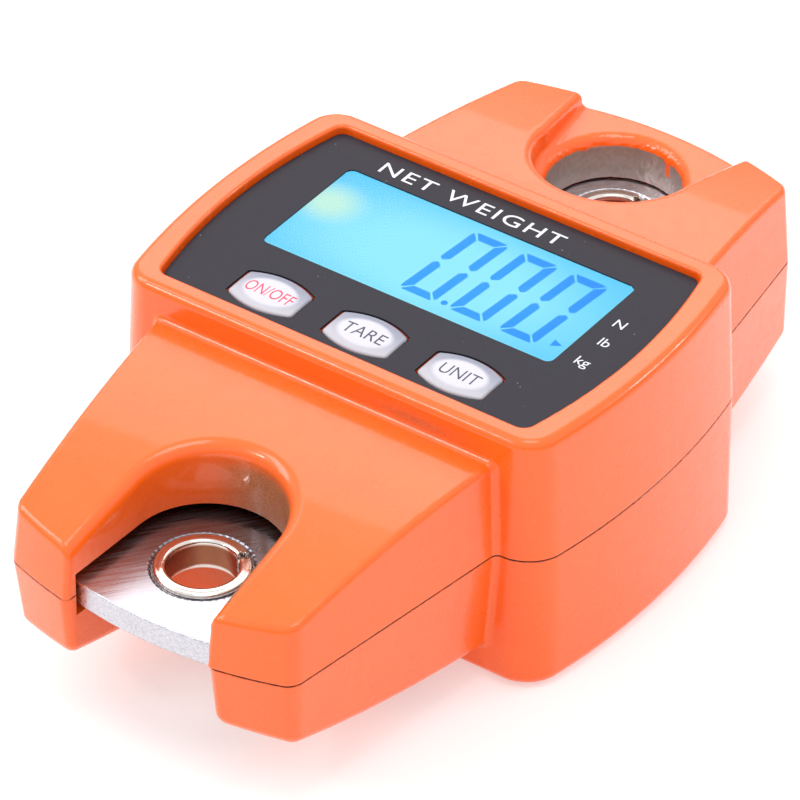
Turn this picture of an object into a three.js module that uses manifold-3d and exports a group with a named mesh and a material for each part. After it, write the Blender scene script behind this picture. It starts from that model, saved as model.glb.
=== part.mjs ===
// Hand-size crane / fish scale: two die-cast shells around a flat load cell with
// an eye at each end, a display and three keys in front, three AAA cells behind.
// Millimetres. Modelled about the parting plane (z = 0) and the body centre,
// then the whole group is moved so that the origin is the middle of the base.
import * as THREE from 'three';
import { mergeVertices } from 'three/addons/utils/BufferGeometryUtils.js';
import Module from 'manifold-3d';

const wasm = await Module();
wasm.setup();

// ---------------------------------------------------------------- dimensions
const BODY_HALF_X = 35.87;       // middle of the bowed side, at the parting
const BODY_HALF_Y = 24.2;
const SIDE_BOW_R = 105;
const BODY_CORNER_R = 4.6;
const Z_TOP = 18.3;              // rim of the front shell
const Z_BOTTOM = -20.5;          // back face
const PARTING_GAP = 0.06;        // each shell stands this far off z = 0
const SHELL_WALL = 2.4;
const DRAFT = 0.045;             // body wall, per mm of height
const RIM_CHAMFER = 0.95;

// arms: near is the hook end (-Y), far the shackle end (+Y)
const ARM_BASE_HALF_NEAR = 27.4; // half width where the arm leaves the body
const ARM_BASE_HALF_FAR = 27.15;
const ARM_TAPER_NEAR = 0.1396;   // loss of half width per mm towards the tip
const ARM_TAPER_FAR = 0.148;
const ARM_DRAFT_NEAR = [0.08, 0.07];   // side draft of the back and front half
const ARM_DRAFT_FAR = [0.02, 0.11];
const TIP_DRAFT_NEAR = 0.11;
const TIP_DRAFT_FAR = 0.0;
const TIP_R_NEAR = 64.7;         // tip arcs are centred on the body
const TIP_R_FAR = 56.2;
const TIP_CORNER = 1.0;
const ARM_TOP_Z_NEAR = 13.7;     // highest arm surface
const ARM_TOP_Z_FAR = 13.5;
const ARM_TOP_START = 20;        // |y| where the arm's top starts to fall
const ARM_SAG_NEAR = [0.0033, 0.0033];
const ARM_SAG_FAR = [0.0031, 0.0026];
const ARM_BOTTOM_Z = -15.7;
const ARM_LOFT_H = 16.6;         // arms are lofted this far, past their caps

const SLOT_Y = -49.0;            // centre of the hook slot's round end
const SLOT_R = 10.5;
const SLOT_MOUTH_HALF = 10.95;

const HOOK_EYE_Y = -49.7;
const SHACKLE_EYE_Y = 42.6;
const SHACKLE_HOLE_R = 9.2;
const SCOOP_FLOOR_Z = 8.6;
const SCOOP_R = 11.0;
const SCOOP_MOUTH_HALF = 13.2;

const PANEL_Z = 17.2;            // face of the printed overlay
const OVERLAY_T = 0.3;
const LEDGE_Z = 16.75;           // ledge the overlay lies on
const PLATE_UNDER_Z = 14.3;      // underside of the front plate
const PANEL_HALF_Y = 20.25;
const PANEL_CORNER_X = 28.8;
const PANEL_MID_X = 31.35;
const WINDOW = { x0: -22.9, x1: 22.8, y0: -5.95, y1: 14.0 };
const KEY_X = [-14.95, 0.05, 15.0];
const KEY_Y = -14.7;
const KEY_HALF_X = 5.25;
const KEY_HALF_Y = 3.95;         // at the middle of the bowed side
const KEY_BOW = 1.4;

const CELL_HALF_T = 1.8;         // load cell plate is 3.6 thick
const CELL_HALF_W = 14.6;
const CELL_NECK_W = 12.5;
const BUSH_BORE_R = 4.7;
const BUSH_SEAT_R = 5.9;
const BUSH_LIP_R = 6.5;

const PCB_TOP = 9.0;
const PCB_T = 1.6;
const PCB_POST = [[-26, -16.4], [26, -16.4], [-26, 16.9], [26, 16.9]];

const HOUSING_SCREW = [[-19.6, -32.5], [19.6, -32.5], [-20.2, 33.0], [20.2, 33.0]];
const CELL_SCREW = [[-9.4, 27.2], [9.4, 27.2]];

const AAA_R = 5.2;
const AAA_L = 44.5;
const AAA_PITCH = 10.9;
const AAA_Z = -11.35;
const DOOR_HALF_X = 24.6;
const DOOR_Y0 = -16.0;
const DOOR_Y1 = 15.9;
const DOOR_T = 2.1;
const DOOR_GAP = 0.3;
const BACK_PLATE_T = 2.6;

// ------------------------------------------------------------------- helpers
function toSolid(geometry) {
  let g = geometry;
  g.deleteAttribute('normal');
  g.deleteAttribute('uv');
  g = mergeVertices(g, 1e-4);
  const mesh = new wasm.Mesh({
    numProp: 3,
    vertProperties: new Float32Array(g.attributes.position.array),
    triVerts: new Uint32Array(g.index.array),
  });
  return new wasm.Manifold(mesh);
}

function toGeometry(solid) {
  const m = solid.getMesh();
  const g = new THREE.BufferGeometry();
  const n = m.vertProperties.length / m.numProp;
  const pos = new Float32Array(n * 3);
  for (let i = 0; i < n; i++) {
    for (let k = 0; k < 3; k++) pos[i * 3 + k] = m.vertProperties[i * m.numProp + k];
  }
  g.setAttribute('position', new THREE.BufferAttribute(pos, 3));
  g.setIndex(new THREE.BufferAttribute(new Uint32Array(m.triVerts), 1));
  g.computeVertexNormals();
  return g;
}

// closed solid between two loops with the same number of points
function loft(a, za, b, zb) {
  const n = a.length;
  const pos = [];
  for (const p of a) pos.push(p[0], p[1], za);
  for (const p of b) pos.push(p[0], p[1], zb);
  const idx = [];
  const cap = THREE.ShapeUtils.triangulateShape(a.map((p) => new THREE.Vector2(p[0], p[1])), []);
  for (const t of cap) idx.push(t[0], t[2], t[1]);
  const cap2 = THREE.ShapeUtils.triangulateShape(b.map((p) => new THREE.Vector2(p[0], p[1])), []);
  for (const t of cap2) idx.push(n + t[0], n + t[1], n + t[2]);
  for (let i = 0; i < n; i++) {
    const j = (i + 1) % n;
    idx.push(i, j, n + j, i, n + j, n + i);
  }
  const g = new THREE.BufferGeometry();
  g.setAttribute('position', new THREE.BufferAttribute(new Float32Array(pos), 3));
  g.setIndex(idx);
  return toSolid(g);
}

const prism = (loop, z0, z1) => loft(loop, z0, loop, z1);

function box(x0, x1, y0, y1, z0, z1) {
  const g = new THREE.BoxGeometry(x1 - x0, y1 - y0, z1 - z0);
  g.translate((x0 + x1) / 2, (y0 + y1) / 2, (z0 + z1) / 2);
  return toSolid(g);
}

function cyl(x, y, z0, z1, r0, r1 = r0, seg = 32) {
  const g = new THREE.CylinderGeometry(r1, r0, z1 - z0, seg);
  g.rotateX(Math.PI / 2);
  g.translate(x, y, (z0 + z1) / 2);
  return toSolid(g);
}

// lathe about the Z axis; the profile is a list of [radius, z]
function turned(profile, x, y, seg = 40) {
  const g = new THREE.LatheGeometry(profile.map((p) => new THREE.Vector2(p[0], p[1])), seg);
  g.rotateX(Math.PI / 2);
  g.translate(x, y, 0);
  let s = toSolid(g);
  if (s.volume() < 0) {
    const q = new THREE.LatheGeometry(profile.slice().reverse().map((p) => new THREE.Vector2(p[0], p[1])), seg);
    q.rotateX(Math.PI / 2);
    q.translate(x, y, 0);
    s = toSolid(q);
  }
  return s;
}

// y-z outline swept along x
function alongX(yz, x0, x1) {
  const shape = new THREE.Shape(yz.map((p) => new THREE.Vector2(p[0], p[1])));
  const g = new THREE.ExtrudeGeometry(shape, { depth: x1 - x0, bevelEnabled: false, steps: 1 });
  g.applyMatrix4(new THREE.Matrix4().makeBasis(
    new THREE.Vector3(0, 1, 0), new THREE.Vector3(0, 0, 1), new THREE.Vector3(1, 0, 0)));
  g.translate(x0, 0, 0);
  return toSolid(g);
}

function sweep(points, section, steps) {
  const path = new THREE.CatmullRomCurve3(points.map((p) => new THREE.Vector3(...p)), false, 'catmullrom', 0.5);
  const shape = new THREE.Shape(section.map((p) => new THREE.Vector2(p[0], p[1])));
  const g = new THREE.ExtrudeGeometry(shape, { steps, bevelEnabled: false, extrudePath: path });
  return toSolid(g);
}

const round = (r, n) => Array.from({ length: n }, (_, i) => [r * Math.cos((i * 2 * Math.PI) / n), r * Math.sin((i * 2 * Math.PI) / n)]);

// ------------------------------------------------------------------ outlines
function bodyOutline(off) {
  const hx = BODY_HALF_X - off;
  const hy = BODY_HALF_Y - off;
  const rc = Math.max(BODY_CORNER_R - off, 1.2);
  const cx = hx - SIDE_BOW_R;
  const yc = hy - rc;
  const xc = cx + Math.sqrt((SIDE_BOW_R - rc) ** 2 - yc ** 2);
  const a0 = Math.atan2(yc, xc - cx);
  const right = [];
  const nc = 5;
  for (let i = 0; i <= nc; i++) {
    const t = -Math.PI / 2 + ((Math.PI / 2 - a0) * i) / nc;
    right.push([xc + rc * Math.cos(t), -yc + rc * Math.sin(t)]);
  }
  const ns = 8;
  for (let i = 1; i < ns; i++) {
    const t = -a0 + (2 * a0 * i) / ns;
    right.push([cx + SIDE_BOW_R * Math.cos(t), SIDE_BOW_R * Math.sin(t)]);
  }
  for (let i = 0; i <= nc; i++) {
    const t = a0 + ((Math.PI / 2 - a0) * i) / nc;
    right.push([xc + rc * Math.cos(t), yc + rc * Math.sin(t)]);
  }
  const left = right.map((p) => [-p[0], p[1]]).reverse();
  return right.concat(left);
}

// side = -1 for the hook end, +1 for the shackle end
function armOutline(side, off, from = 17, endOff = off) {
  const R = (side < 0 ? TIP_R_NEAR : TIP_R_FAR) - endOff;
  const k = side < 0 ? ARM_TAPER_NEAR : ARM_TAPER_FAR;
  const base = side < 0 ? ARM_BASE_HALF_NEAR : ARM_BASE_HALF_FAR;
  const half = (y) => base - off - k * (y - BODY_HALF_Y);
  let y = R;
  for (let i = 0; i < 60; i++) y = Math.sqrt(R * R - half(y) ** 2);
  const c = [half(y), y];
  const L = Math.hypot(k, 1);
  const p0 = [c[0] + (TIP_CORNER * k) / L, c[1] - TIP_CORNER / L];
  const ang = Math.atan2(c[1], c[0]);
  const a1 = ang + TIP_CORNER / R;
  const p1 = [R * Math.cos(a1), R * Math.sin(a1)];
  const right = [[half(from), from], p0];
  for (let i = 1; i < 3; i++) {
    const t = i / 3;
    right.push([
      (1 - t) ** 2 * p0[0] + 2 * t * (1 - t) * c[0] + t * t * p1[0],
      (1 - t) ** 2 * p0[1] + 2 * t * (1 - t) * c[1] + t * t * p1[1],
    ]);
  }
  const n = 6;
  for (let i = 0; i <= n; i++) {
    const a = a1 + ((Math.PI / 2 - a1) * i) / n;
    right.push([R * Math.cos(a), R * Math.sin(a)]);
  }
  right.pop();
  const left = right.map((p) => [-p[0], p[1]]).reverse();
  const loop = right.concat([[0, R]], left);
  return side > 0 ? loop : loop.map((p) => [p[0], -p[1]]).reverse();
}

// how far the arm's sides and tip have drawn in at the end of its loft
function armDraft(side, up) {
  const sides = (side < 0 ? ARM_DRAFT_NEAR : ARM_DRAFT_FAR)[up > 0 ? 1 : 0];
  return [sides * ARM_LOFT_H, (side < 0 ? TIP_DRAFT_NEAR : TIP_DRAFT_FAR) * ARM_LOFT_H];
}

function armCap(side, up, drop) {
  const k = (side < 0 ? ARM_SAG_NEAR : ARM_SAG_FAR)[up > 0 ? 1 : 0];
  const top = up < 0 ? -ARM_BOTTOM_Z : side < 0 ? ARM_TOP_Z_NEAR : ARM_TOP_Z_FAR;
  const pts = [];
  const n = 9;
  for (let i = 0; i <= n; i++) {
    const y = 15 + ((70 - 15) * i) / n;
    pts.push([side * y, up * (top - k * Math.max(0, y - ARM_TOP_START) ** 2 - drop)]);
  }
  pts.push([side * 70, -up * 5], [side * 15, -up * 5]);
  const area = THREE.ShapeUtils.area(pts.map((p) => new THREE.Vector2(p[0], p[1])));
  return alongX(area < 0 ? pts.reverse() : pts, -40, 40);
}

function slotOutline(off) {
  const r = SLOT_R + off;
  const m = SLOT_MOUTH_HALF + off;
  const pts = [[-m, -72], [m, -72]];
  const n = 14;
  for (let i = 0; i <= n; i++) {
    const t = (Math.PI * i) / n;
    pts.push([r * Math.cos(t), SLOT_Y + r * Math.sin(t)]);
  }
  return pts;
}

function scoopOutline(off) {
  const r = SCOOP_R + off;
  const m = SCOOP_MOUTH_HALF + off;
  const pts = [[m, 56.5], [m, 62], [-m, 62], [-m, 56.5]];
  const n = 14;
  for (let i = 0; i <= n; i++) {
    const t = Math.PI + (Math.PI * i) / n;
    pts.push([r * Math.cos(t), SHACKLE_EYE_Y + r * Math.sin(t)]);
  }
  return pts;
}

function panelOutline(off) {
  const hy = PANEL_HALF_Y - off;
  const bow = PANEL_MID_X - PANEL_CORNER_X;
  const half = (y) => PANEL_MID_X - off - bow * (y / PANEL_HALF_Y) ** 2;
  const right = [];
  const rc = 1.6;
  const c = half(hy);
  right.push([c - rc, -hy]);
  right.push([c - 0.35 * rc, -hy + 0.22 * rc]);
  const n = 8;
  for (let i = 0; i <= n; i++) {
    const y = -(hy - rc) + (2 * (hy - rc) * i) / n;
    right.push([half(y), y]);
  }
  right.push([c - 0.35 * rc, hy - 0.22 * rc]);
  right.push([c - rc, hy]);
  return right.concat(right.map((p) => [-p[0], p[1]]).reverse());
}

// barrel-shaped key: bowed long sides, straight short ends
function keyOutline(x, off) {
  const hx = KEY_HALF_X - off;
  const hy = KEY_HALF_Y - off;
  const n = 6;
  const pts = [];
  for (let i = 0; i <= n; i++) {
    const t = -1 + (2 * i) / n;
    pts.push([x + t * hx, KEY_Y - (hy - KEY_BOW * t * t)]);
  }
  for (let i = 0; i <= n; i++) {
    const t = 1 - (2 * i) / n;
    pts.push([x + t * hx, KEY_Y + (hy - KEY_BOW * t * t)]);
  }
  return pts;
}

function cellOutline(off) {
  const w = CELL_HALF_W + off;
  const nk = CELL_NECK_W + off;
  const rn = 62.3 + off;
  const rf = 52.5 + off;
  const pts = [];
  const an = Math.asin(w / rn);
  const n = 10;
  for (let i = 0; i <= n; i++) {
    const a = -an + (2 * an * i) / n;
    pts.push([rn * Math.sin(a), -rn * Math.cos(a)]);
  }
  pts.push([w, -36 + off], [nk, -32 + off], [nk, 19 - off], [w, 22.5 - off]);
  const af = Math.asin(w / rf);
  for (let i = 0; i <= n; i++) {
    const a = af - (2 * af * i) / n;
    pts.push([rf * Math.sin(a), rf * Math.cos(a)]);
  }
  pts.push([-w, 22.5 - off], [-nk, 19 - off], [-nk, -32 + off], [-w, -36 + off]);
  return pts;
}

// ----------------------------------------------------------------- materials
const mat = (color, roughness, metalness, extra = {}) => new THREE.MeshStandardMaterial({ color, roughness, metalness, ...extra });
const ORANGE = () => mat(0xff6a1c, 0.35, 0.1);
const STEEL = () => mat(0xb9bcc2, 0.35, 0.9);
const CHROME = () => mat(0xdedbd6, 0.12, 1.0);
const SCREW = () => mat(0x8f9296, 0.35, 0.9);

const scale = new THREE.Group();
function add(name, solid, material) {
  const mesh = new THREE.Mesh(toGeometry(solid), material);
  mesh.name = name;
  scale.add(mesh);
  return mesh;
}

// ---------------------------------------------------------------- the shells
function shellSkin(up) {
  const zt = up > 0 ? Z_TOP : Z_BOTTOM;
  const h = Math.abs(zt);
  const d = up > 0 ? DRAFT : 0.0;
  const a = bodyOutline(0);
  const b = bodyOutline(d * (h - RIM_CHAMFER));
  const c = bodyOutline(d * h + RIM_CHAMFER * 0.8);
  const lo = (A, za, B, zb) => (up > 0 ? loft(A, za, B, zb) : loft(B, zb, A, za));
  let s = lo(a, up * PARTING_GAP, b, up * (h - RIM_CHAMFER));
  s = s.add(lo(b, up * (h - RIM_CHAMFER), c, up * h));
  for (const side of [-1, 1]) {
    const [off, end] = armDraft(side, up);
    const arm = lo(armOutline(side, 0), up * PARTING_GAP, armOutline(side, off, 17, end), up * ARM_LOFT_H);
    s = s.add(arm.intersect(armCap(side, up, 0)));
  }
  return s;
}

function shellHollow(up) {
  const lo = (A, za, B, zb) => (up > 0 ? loft(A, za, B, zb) : loft(B, zb, A, za));
  const ceil = up > 0 ? PLATE_UNDER_Z : -Z_BOTTOM - BACK_PLATE_T;
  let hollow = lo(bodyOutline(SHELL_WALL), up * -1, bodyOutline(SHELL_WALL + 0.5), up * ceil);
  for (const side of [-1, 1]) {
    const [off, end] = armDraft(side, up);
    let arm = lo(armOutline(side, 2.7, 20), up * -1, armOutline(side, 2.7 + off, 20, 2.7 + end), up * ARM_LOFT_H)
      .intersect(armCap(side, up, 2.4));
    if (side < 0) arm = arm.subtract(prism(slotOutline(2.5), -20, 20));
    else {
      arm = arm.subtract(cyl(0, SHACKLE_EYE_Y, -20, 20, SHACKLE_HOLE_R + 2.4, SHACKLE_HOLE_R + 2.4, 24));
      const keep = up > 0 ? prism(scoopOutline(2.2), SCOOP_FLOOR_Z - 2.2, 20) : prism(scoopOutline(2.2), -20, -(SCOOP_FLOOR_Z - 2.2));
      arm = arm.subtract(keep);
    }
    hollow = hollow.add(arm);
  }
  return hollow;
}

function shellOpenings(solid, up) {
  let s = solid.subtract(prism(slotOutline(0), -30, 30));
  s = s.subtract(cyl(0, SHACKLE_EYE_Y, -30, 30, SHACKLE_HOLE_R, SHACKLE_HOLE_R, 28));
  s = s.subtract(up > 0 ? prism(scoopOutline(0), SCOOP_FLOOR_Z, 30) : prism(scoopOutline(0), -30, -SCOOP_FLOOR_Z));
  // room for the load cell, deeper at the hook end
  s = s.subtract(prism(cellOutline(0.45), -2.1, 2.1));
  s = s.subtract(prism(cellOutline(0.45), -3.3, 3.3).intersect(box(-30, 30, -70, -33.5, -5, 5)));
  return s;
}

let front = shellSkin(1).subtract(shellHollow(1));
for (const [x, y] of HOUSING_SCREW) front = front.add(cyl(x, y, PARTING_GAP, 11.2, 3.1, 3.1, 12).intersect(shellSkin(1)));
for (const [x, y] of CELL_SCREW) front = front.add(cyl(x, y, 2.1, 12.4, 3.4, 3.4, 14).intersect(shellSkin(1)));
for (const [x, y] of PCB_POST) front = front.add(cyl(x, y, PCB_TOP + 0.2, PLATE_UNDER_Z + 0.5, 2.3, 2.3, 12));
front = shellOpenings(front, 1);
front = front.subtract(prism(panelOutline(0), LEDGE_Z, 30));
front = front.subtract(box(WINDOW.x0 - 1.6, WINDOW.x1 + 1.6, WINDOW.y0 - 1.6, WINDOW.y1 + 1.6, PLATE_UNDER_Z - 1, LEDGE_Z + 1));
for (const x of KEY_X) front = front.subtract(prism(keyOutline(x, -0.1), PLATE_UNDER_Z - 1, LEDGE_Z + 1));
for (const [x, y] of HOUSING_SCREW) front = front.subtract(cyl(x, y, -1, 8.6, 1.45, 1.45, 10));
for (const [x, y] of CELL_SCREW) front = front.subtract(cyl(x, y, 1, 10.2, 1.75, 1.75, 10));
for (const [x, y] of PCB_POST) front = front.subtract(cyl(x, y, PCB_TOP - 1, 13.6, 1.05, 1.05, 10));
add('front_shell', front, ORANGE());

const doorHole = box(-DOOR_HALF_X - DOOR_GAP, DOOR_HALF_X + DOOR_GAP, DOOR_Y0 - DOOR_GAP, DOOR_Y1 + DOOR_GAP, Z_BOTTOM - 1, Z_BOTTOM + BACK_PLATE_T + 1);
let back = shellSkin(-1).subtract(shellHollow(-1));
for (const [x, y] of HOUSING_SCREW) back = back.add(cyl(x, y, -14.2, -PARTING_GAP, 3.9, 3.9, 14).intersect(shellSkin(-1)));
back = shellOpenings(back, -1);
back = back.subtract(doorHole);
for (const [x, y] of HOUSING_SCREW) {
  back = back.subtract(cyl(x, y, -30, -8.6, 2.9, 2.9, 20));
  back = back.subtract(cyl(x, y, -10, 1, 1.75, 1.75, 10));
}
add('back_shell', back, ORANGE());

// -------------------------------------------------------------- load cell set
let cell = prism(cellOutline(0), -CELL_HALF_T, CELL_HALF_T);
for (const y of [HOOK_EYE_Y, SHACKLE_EYE_Y]) {
  cell = cell.subtract(cyl(0, y, -5, 5, BUSH_SEAT_R + 0.2, BUSH_SEAT_R + 0.2, 28));
  cell = cell.subtract(cyl(0, y, CELL_HALF_T - 0.7, CELL_HALF_T + 0.3, 6.3, 7.2, 28));
  cell = cell.subtract(cyl(0, y, -CELL_HALF_T - 0.3, -CELL_HALF_T + 0.7, 7.2, 6.3, 28));
}
for (const [x, y] of CELL_SCREW) cell = cell.subtract(cyl(x, y, -5, 5, 2.2, 2.2, 14));
// two slits from opposite sides and a middle window make the bending beams
cell = cell.subtract(box(-14, 7.2, 7.4, 9.0, -5, 5)).subtract(cyl(7.2, 8.2, -5, 5, 1.3, 1.3, 12));
cell = cell.subtract(box(-7.2, 14, -9.0, -7.4, -5, 5)).subtract(cyl(-7.2, -8.2, -5, 5, 1.3, 1.3, 12));
cell = cell.subtract(box(-5.6, 5.6, -2.6, 2.6, -5, 5));
for (const x of [-5.6, 5.6]) cell = cell.subtract(cyl(x, 0, -5, 5, 2.6, 2.6, 16));
add('load_cell', cell, STEEL());

// split eyelet: sleeve with a rolled lip on both faces of the plate
function bush(y, gapAngle) {
  const t = CELL_HALF_T;
  const profile = [
    [BUSH_BORE_R, -t - 0.1], [BUSH_BORE_R + 0.4, -t - 0.45], [BUSH_LIP_R - 0.6, -t - 0.45], [BUSH_LIP_R - 0.15, -t + 0.05],
    [BUSH_SEAT_R - 0.1, -t + 0.62], [BUSH_SEAT_R - 0.1, t - 0.62],
    [BUSH_LIP_R - 0.15, t - 0.05], [BUSH_LIP_R - 0.6, t + 0.45], [BUSH_BORE_R + 0.4, t + 0.45], [BUSH_BORE_R, t + 0.1],
    [BUSH_BORE_R, -t - 0.1],
  ];
  let b = turned(profile, 0, y, 28);
  const g = new THREE.BoxGeometry(9, 0.7, 10);
  g.translate(4.5, 0, 0);
  g.rotateZ(gapAngle);
  g.translate(0, y, 0);
  b = b.subtract(toSolid(g));
  return b;
}
add('hook_eye_bush', bush(HOOK_EYE_Y, 0.95), CHROME());
add('shackle_eye_bush', bush(SHACKLE_EYE_Y, 1.45), CHROME());

function screw(x, y, zHead, zEnd, rHead, hHead, rShank) {
  // head below, shank pointing up, cross recess in the head
  let s = cyl(x, y, zHead, zHead + hHead, rHead * 0.86, rHead, 16).add(cyl(x, y, zHead + hHead - 0.1, zEnd - 0.6, rShank, rShank, 8));
  s = s.add(cyl(x, y, zEnd - 0.6, zEnd, rShank, rShank * 0.5, 8));
  const w = rHead * 0.26;
  const l = rHead * 0.62;
  s = s.subtract(box(x - l, x + l, y - w / 2, y + w / 2, zHead - 1, zHead + hHead * 0.55));
  s = s.subtract(box(x - w / 2, x + w / 2, y - l, y + l, zHead - 1, zHead + hHead * 0.55));
  return s;
}
CELL_SCREW.forEach(([x, y], i) => add(`load_cell_screw_${i + 1}`, screw(x, y, -CELL_HALF_T - 2.2, 9.4, 3.1, 2.0, 1.5), SCREW()));
HOUSING_SCREW.forEach(([x, y], i) => add(`housing_screw_${i + 1}`, screw(x, y, -10.7, 8.0, 2.55, 1.9, 1.2), SCREW()));

const GAUGE = [[-10.35, 0, 1], [10.35, 0, 1], [-10.35, 0, -1], [10.35, 0, -1]];
GAUGE.forEach(([x, y, up], i) => {
  const z = up * (CELL_HALF_T + 0.2);
  add(`strain_gauge_${i + 1}`, box(x - 1.6, x + 1.6, y - 2.6, y + 2.6, Math.min(z, z + up * 0.3), Math.max(z, z + up * 0.3)), mat(0xc9973a, 0.5, 0.2));
});

// --------------------------------------------------------- front panel pieces
let overlay = prism(panelOutline(0.25), PANEL_Z - OVERLAY_T, PANEL_Z);
overlay = overlay.subtract(box(WINDOW.x0, WINDOW.x1, WINDOW.y0, WINDOW.y1, 10, 20));
for (const x of KEY_X) overlay = overlay.subtract(prism(keyOutline(x, -0.15), 10, 20));
add('panel_overlay', overlay, mat(0x35343a, 0.55, 0.0));
add('lcd_window', box(WINDOW.x0 + 0.15, WINDOW.x1 - 0.15, WINDOW.y0 + 0.15, WINDOW.y1 - 0.15, PANEL_Z - OVERLAY_T, PANEL_Z),
  mat(0xdff6ff, 0.1, 0.0, { transparent: true, opacity: 0.35 }));

const KEYS = ['key_on_off', 'key_tare', 'key_unit'];
KEYS.forEach((name, i) => {
  const x = KEY_X[i];
  let k = loft(keyOutline(x, 0.2), 15.2, keyOutline(x, 0.2), PANEL_Z - 0.05);
  k = k.add(loft(keyOutline(x, 0.2), PANEL_Z - 0.05, keyOutline(x, 1.1), PANEL_Z + 0.3));
  k = k.add(cyl(x, KEY_Y, 13.3, 15.4, 2.0, 2.0, 12));
  add(name, k, mat(0xdcdde4, 0.35, 0.1));
  add(`switch_plunger_${i + 1}`, cyl(x, KEY_Y, 11.6, 13.1, 1.6, 1.6, 12), mat(0x2a2a2c, 0.5, 0));
  let sw = box(x - 3, x + 3, KEY_Y - 3, KEY_Y + 3, PCB_TOP + 0.15, 12.4);
  sw = sw.subtract(cyl(x, KEY_Y, 10.4, 13, 1.95, 1.95, 14));
  add(`tact_switch_${i + 1}`, sw, mat(0x3c3d40, 0.45, 0.2));
});

// ------------------------------------------------------------ display, board
add('lcd_glass', box(WINDOW.x0 - 1.2, WINDOW.x1 + 1.2, WINDOW.y0 - 1.2, WINDOW.y1 + 1.2, 14.9, 16.75), mat(0x8fe4ff, 0.2, 0.0));
add('lcd_backlight', box(WINDOW.x0 - 1.2, WINDOW.x1 + 1.2, WINDOW.y0 - 1.2, 11.9, 11.9, 14.7), mat(0xf2fbff, 0.4, 0.0));
let holder = box(WINDOW.x0 - 1.2, WINDOW.x1 + 1.2, WINDOW.y0 - 1.2, 11.9, PCB_TOP + 0.2, 11.7);
holder = holder.subtract(box(-20.5, 20.5, -4.6, 9.4, PCB_TOP - 0.5, 10.9));
add('lcd_holder', holder, mat(0xe9e9e6, 0.55, 0));
add('lcd_connector', box(-20.5, 20.5, 12.6, 14.8, PCB_TOP + 0.2, 14.7), mat(0x6d6f78, 0.6, 0));

let pcb = box(-29.4, 29.4, -19.2, 19.4, PCB_TOP - PCB_T, PCB_TOP);
for (const [x, y] of PCB_POST) pcb = pcb.subtract(cyl(x, y, 0, 20, 1.2, 1.2, 10));
pcb = pcb.subtract(box(28.2, 31, -5, 5, 0, 20)).subtract(box(-31, -28.2, -5, 5, 0, 20));
add('main_pcb', pcb, mat(0x1f6b3a, 0.5, 0.1));
PCB_POST.forEach(([x, y], i) => add(`pcb_screw_${i + 1}`, screw(x, y, PCB_TOP - PCB_T - 1.5, 12.9, 2.0, 1.3, 0.75), SCREW()));
add('controller_chip', box(-7, 3, -6, 4, PCB_TOP - PCB_T - 1.75, PCB_TOP - PCB_T - 0.15), mat(0x202124, 0.4, 0));
add('adc_chip', box(9, 14, -4, 6, PCB_TOP - PCB_T - 1.75, PCB_TOP - PCB_T - 0.15), mat(0x202124, 0.4, 0));

// ------------------------------------------------------------- battery space
const TRAY_TOP = -4.7;
const TRAY_BOTTOM = Z_BOTTOM + BACK_PLATE_T + 0.25;
let tray = box(-26.9, 26.9, -17.9, 17.9, TRAY_BOTTOM, TRAY_TOP);
tray = tray.subtract(box(-25.6, 25.6, -16.7, 16.7, TRAY_BOTTOM - 1, TRAY_TOP - 1.1));
// notches that clear the door's two tabs
for (const x of [-13, 13]) tray = tray.subtract(box(x - 3.6, x + 3.6, -19, -16, TRAY_BOTTOM - 1, -15.9));
// low ribs between the cells
for (const y of [-AAA_PITCH / 2, AAA_PITCH / 2]) {
  tray = tray.add(alongX([[y - 0.6, TRAY_TOP - 0.5], [y - 0.25, TRAY_TOP - 3.2], [y + 0.25, TRAY_TOP - 3.2], [y + 0.6, TRAY_TOP - 0.5]], -20, 20));
}
// two holes in the roof for the leads
tray = tray.subtract(cyl(-24.2, 14.2, -8, 0, 1.1, 1.1, 10)).subtract(cyl(24.2, -14.2, -8, 0, 1.1, 1.1, 10));
add('battery_tray', tray, mat(0x232326, 0.6, 0));

[-1, 0, 1].forEach((row, i) => {
  const y = row * AAA_PITCH;
  const flip = i === 1 ? -1 : 1;
  const can = new THREE.LatheGeometry([[0, -AAA_L / 2], [AAA_R - 0.5, -AAA_L / 2], [AAA_R, -AAA_L / 2 + 0.5], [AAA_R, AAA_L / 2 - 1.6], [AAA_R - 0.6, AAA_L / 2 - 1.0], [1.9, AAA_L / 2 - 1.0], [1.8, AAA_L / 2], [0, AAA_L / 2]].map((p) => new THREE.Vector2(...p)), 18);
  can.rotateZ(flip > 0 ? -Math.PI / 2 : Math.PI / 2);
  can.translate(0, y, AAA_Z);
  add(`battery_${i + 1}`, toSolid(can), mat(0x2c6f57, 0.3, 0.3));
  // conical spring on the flat end
  const pts = [];
  const turns = 2;
  for (let k = 0; k <= 30; k++) {
    const a = (k / 30) * turns * 2 * Math.PI;
    const r = 3.4 - 1.7 * (k / 30);
    pts.push([-flip * (24.75 - 2.1 * (k / 30)), y + r * Math.cos(a), AAA_Z + r * Math.sin(a)]);
  }
  add(`battery_spring_${i + 1}`, sweep(pts, round(0.22, 5), 26), mat(0xcfcfcf, 0.25, 1));
});
const strip = (x, y0, y1) => box(x - 0.15, x + 0.15, y0, y1, AAA_Z - 3.9, AAA_Z + 3.9);
add('contact_left_pair', strip(-25.2, -15.2, 4.2), mat(0xd8d8d2, 0.25, 1));
add('contact_left_single', strip(-25.2, 6.7, 15.2), mat(0xd8d8d2, 0.25, 1));
add('contact_right_single', strip(25.2, -15.2, -6.7), mat(0xd8d8d2, 0.25, 1));
add('contact_right_pair', strip(25.2, -4.2, 15.2), mat(0xd8d8d2, 0.25, 1));

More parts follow.
